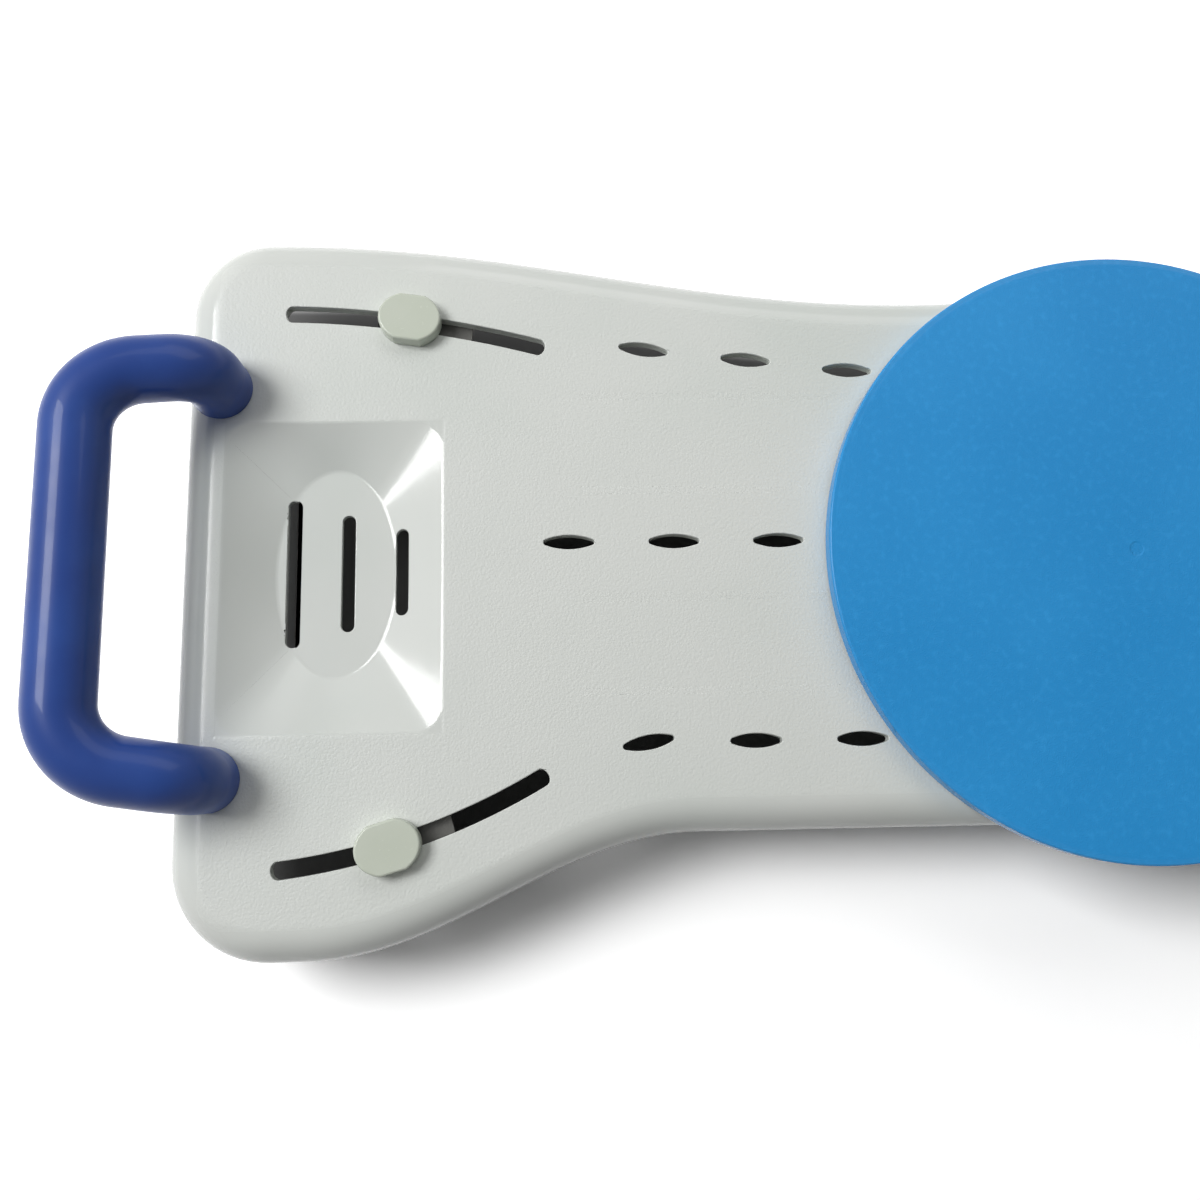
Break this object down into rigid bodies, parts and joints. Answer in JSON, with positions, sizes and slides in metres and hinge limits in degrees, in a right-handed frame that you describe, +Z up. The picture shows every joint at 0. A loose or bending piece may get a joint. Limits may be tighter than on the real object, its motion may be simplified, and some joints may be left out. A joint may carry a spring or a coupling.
{
  "type": "swivel bath seat",
  "caption": "Moulded bath board with a turning seat disc, a soap dish, a grab handle at one end and sliding feet that clamp inside the bath.",
  "frame": {"origin": "under the middle of the outer box, on the floor that the feet stand on", "axes": "+X along the board, away from the handle; +Y to the rear edge, the straighter one; +Z up"},
  "size_m": [0.7874, 0.365, 0.1353],
  "materials": {
    "board_plastic": "fine leather grain on top, gloss on the rolled edge and in the dish",
    "handle_plastic": "gloss",
    "disc_plastic": "fine stipple on top",
    "cap_plastic": "satin",
    "foot_plastic": "satin",
    "nut_plastic": "satin",
    "bush_plastic": "satin",
    "glide_plastic": "satin",
    "rubber": "matt",
    "steel": "satin",
    "brass": "machined"
  },
  "bodies": {
    "board": {"board_shell": "board_plastic", "grab_handle": "handle_plastic", "handle_screw_front": "steel", "handle_screw_rear": "steel", "handle_washer_front": "steel", "handle_washer_rear": "steel", "rim_strip_rear_left": "rubber", "rim_strip_front_left": "rubber", "rim_strip_rear_right": "rubber", "rim_strip_front_right": "rubber", "glide_ring": "glide_plastic", "pivot_bush": "bush_plastic"},
    "disc": {"swivel_disc": "disc_plastic", "thread_insert": "brass", "pivot_retainer": "steel", "pivot_lock_washer": "steel", "pivot_bolt": "steel"},
    "foot_rear_left": {"foot_cap_rear_left": "cap_plastic", "foot_bolt_rear_left": "steel", "foot_bracket_rear_left": "foot_plastic", "foot_pad_rear_left": "rubber", "foot_washer_rear_left": "steel"},
    "nut_rear_left": {"hand_nut_rear_left": "nut_plastic"},
    "foot_front_left": {"foot_cap_front_left": "cap_plastic", "foot_bolt_front_left": "steel", "foot_bracket_front_left": "foot_plastic", "foot_pad_front_left": "rubber", "foot_washer_front_left": "steel"},
    "nut_front_left": {"hand_nut_front_left": "nut_plastic"},
    "foot_rear_right": {"foot_cap_rear_right": "cap_plastic", "foot_bolt_rear_right": "steel", "foot_bracket_rear_right": "foot_plastic", "foot_pad_rear_right": "rubber", "foot_washer_rear_right": "steel"},
    "nut_rear_right": {"hand_nut_rear_right": "nut_plastic"},
    "foot_front_right": {"foot_cap_front_right": "cap_plastic", "foot_bolt_front_right": "steel", "foot_bracket_front_right": "foot_plastic", "foot_pad_front_right": "rubber", "foot_washer_front_right": "steel"},
    "nut_front_right": {"hand_nut_front_right": "nut_plastic"}
  },
  "joints": [
    {"name": "disc_turn", "type": "hinge", "parent": "board", "child": "disc", "pos_m": [0.13085, 0.01, 0.0751], "axis": [0, 0, 1], "continuous": true},
    {"name": "foot_rear_left_slide", "type": "hinge", "parent": "board", "child": "foot_rear_left", "pos_m": [-0.30237, -0.38138, 0.0751], "axis": [0, 0, 1], "range_deg": [-6.87, 6.19]},
    {"name": "nut_rear_left_turn", "type": "hinge", "parent": "foot_rear_left", "child": "nut_rear_left", "pos_m": [-0.23215, 0.13386, 0.0617], "axis": [0, 0, 1], "continuous": true},
    {"name": "foot_front_left_slide", "type": "hinge", "parent": "board", "child": "foot_front_left", "pos_m": [-0.32766, 0.17941, 0.0751], "axis": [0, 0, 1], "range_deg": [-8.78, 13.49]},
    {"name": "nut_front_left_turn", "type": "hinge", "parent": "foot_front_left", "child": "nut_front_left", "pos_m": [-0.24015, -0.12839, 0.0617], "axis": [0, 0, 1], "continuous": true},
    {"name": "foot_rear_right_slide", "type": "hinge", "parent": "board", "child": "foot_rear_right", "pos_m": [0.35007, -0.38138, 0.0751], "axis": [0, 0, 1], "range_deg": [-6.19, 2.88]},
    {"name": "nut_rear_right_turn", "type": "hinge", "parent": "foot_rear_right", "child": "nut_rear_right", "pos_m": [0.27985, 0.13386, 0.0617], "axis": [0, 0, 1], "continuous": true},
    {"name": "foot_front_right_slide", "type": "hinge", "parent": "board", "child": "foot_front_right", "pos_m": [0.37536, 0.17941, 0.0751], "axis": [0, 0, 1], "range_deg": [-7.32, 8.78]},
    {"name": "nut_front_right_turn", "type": "hinge", "parent": "foot_front_right", "child": "nut_front_right", "pos_m": [0.28785, -0.12839, 0.0617], "axis": [0, 0, 1], "continuous": true}
  ]
}
